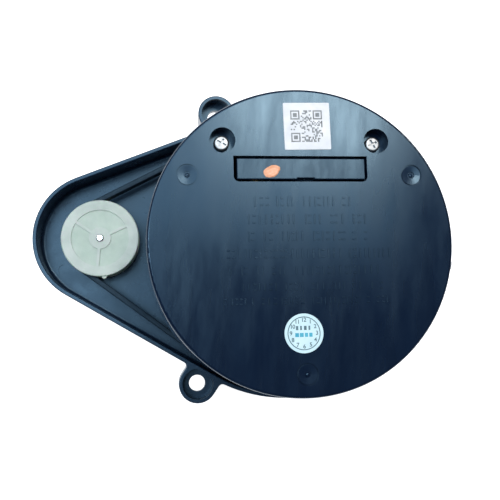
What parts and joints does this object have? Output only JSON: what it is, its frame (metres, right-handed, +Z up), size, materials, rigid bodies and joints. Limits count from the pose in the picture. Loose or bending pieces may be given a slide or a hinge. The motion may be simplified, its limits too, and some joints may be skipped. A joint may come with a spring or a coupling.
{
  "type": "lidar scanner module",
  "caption": "Spinning laser range finder: a round black turret on a teardrop base, turned by a flat belt from a small motor's pulley.",
  "frame": {"origin": "the turret's axis at the underside of the three mounting lugs", "axes": "+Z up along the turret's axis, -X towards the drive motor along the base's line of symmetry"},
  "size_m": [0.1241, 0.0904, 0.0514],
  "materials": {
    "black_shell": "moulded satin-gloss black ABS",
    "black_base": "moulded satin black ABS",
    "black_inner": "matt black moulding",
    "pale_nylon": "natural translucent moulded plastic",
    "belt_rubber": "matt black rubber",
    "zinc_screw": "bright zinc plate",
    "bearing_steel": "ground and polished steel",
    "motor_steel": "drawn and nickel plated steel",
    "shaft_steel": "ground steel",
    "bronze": "sintered bronze",
    "copper": "enamelled or bare copper",
    "carbon": "pressed carbon",
    "magnet": "sintered ferrite magnet",
    "ferrite": "sintered ferrite",
    "core_iron": "stacked sheet iron",
    "circuit_board": "green solder mask",
    "chip_epoxy": "moulded epoxy",
    "header_nylon": "off-white nylon",
    "tinned_metal": "tin plate",
    "cage_nylon": "natural nylon",
    "brass_barrel": "turned brass",
    "black_anodised": "black anodised",
    "lens_glass": "coated optical glass",
    "clear_epoxy": "clear moulded epoxy",
    "label_paper": "white printed label",
    "orange_paint": "dab of orange paint"
  },
  "bodies": {
    "base": {"base_frame": "black_base", "bottom_cover": "black_base", "bottom_cover_screws": "zinc_screw", "interface_board": "circuit_board", "interface_board_screws": "zinc_screw", "interface_chips": "chip_epoxy", "wire_header": "header_nylon", "header_pins": "tinned_metal", "coil_pedestal": "black_inner", "fixed_ferrite": "ferrite", "fixed_coil": "copper", "link_photodiode": "clear_epoxy", "encoder_ring": "black_inner", "bearing_outer_race": "bearing_steel", "motor_can": "motor_steel", "motor_end_cap": "black_inner", "motor_terminals": "tinned_metal", "motor_bush": "bronze", "motor_magnets": "magnet", "motor_brushes": "carbon", "motor_screws": "zinc_screw", "drive_belt": "belt_rubber"},
    "turret": {"turret_base": "black_shell", "hub_retaining_ring": "motor_steel", "rotor_ferrite": "ferrite", "rotor_coil": "copper", "link_led": "clear_epoxy", "turret_cover": "black_shell", "cap_screws": "zinc_screw", "optics_holder": "black_inner", "optics_screws": "zinc_screw", "laser_barrel": "brass_barrel", "laser_diode": "motor_steel", "laser_board": "circuit_board", "emitter_lens": "lens_glass", "receiver_barrel": "black_anodised", "receiver_lens": "lens_glass", "lens_rings": "black_anodised", "sensor_board": "circuit_board", "image_sensor": "chip_epoxy", "turret_board": "circuit_board", "turret_board_screws": "zinc_screw", "turret_chips": "chip_epoxy", "encoder_sensor": "chip_epoxy", "encoder_sensor_leads": "tinned_metal", "square_label": "label_paper", "round_label": "label_paper", "paint_dab": "orange_paint", "bearing_inner_race": "bearing_steel"},
    "motor_rotor": {"motor_shaft": "shaft_steel", "motor_pulley": "pale_nylon", "motor_rotor_core": "core_iron", "motor_commutator": "copper"},
    "ball_cage": {"bearing_balls": "bearing_steel", "bearing_cage": "cage_nylon"}
  },
  "joints": [
    {"name": "turret_spin", "type": "hinge", "parent": "base", "child": "turret", "pos_m": [0, 0, 0], "axis": [0, 0, 1], "continuous": true},
    {"name": "motor_spin", "type": "hinge", "parent": "base", "child": "motor_rotor", "pos_m": [-0.0539, 0, 0], "axis": [0, 0, 1], "continuous": true},
    {"name": "cage_spin", "type": "hinge", "parent": "base", "child": "ball_cage", "pos_m": [0, 0, 0], "axis": [0, 0, 1], "continuous": true}
  ],
  "couplings": [
    {"joint": "motor_spin", "follows": "turret_spin", "ratio": 3.7902},
    {"joint": "cage_spin", "follows": "turret_spin", "ratio": 0.4516}
  ]
}
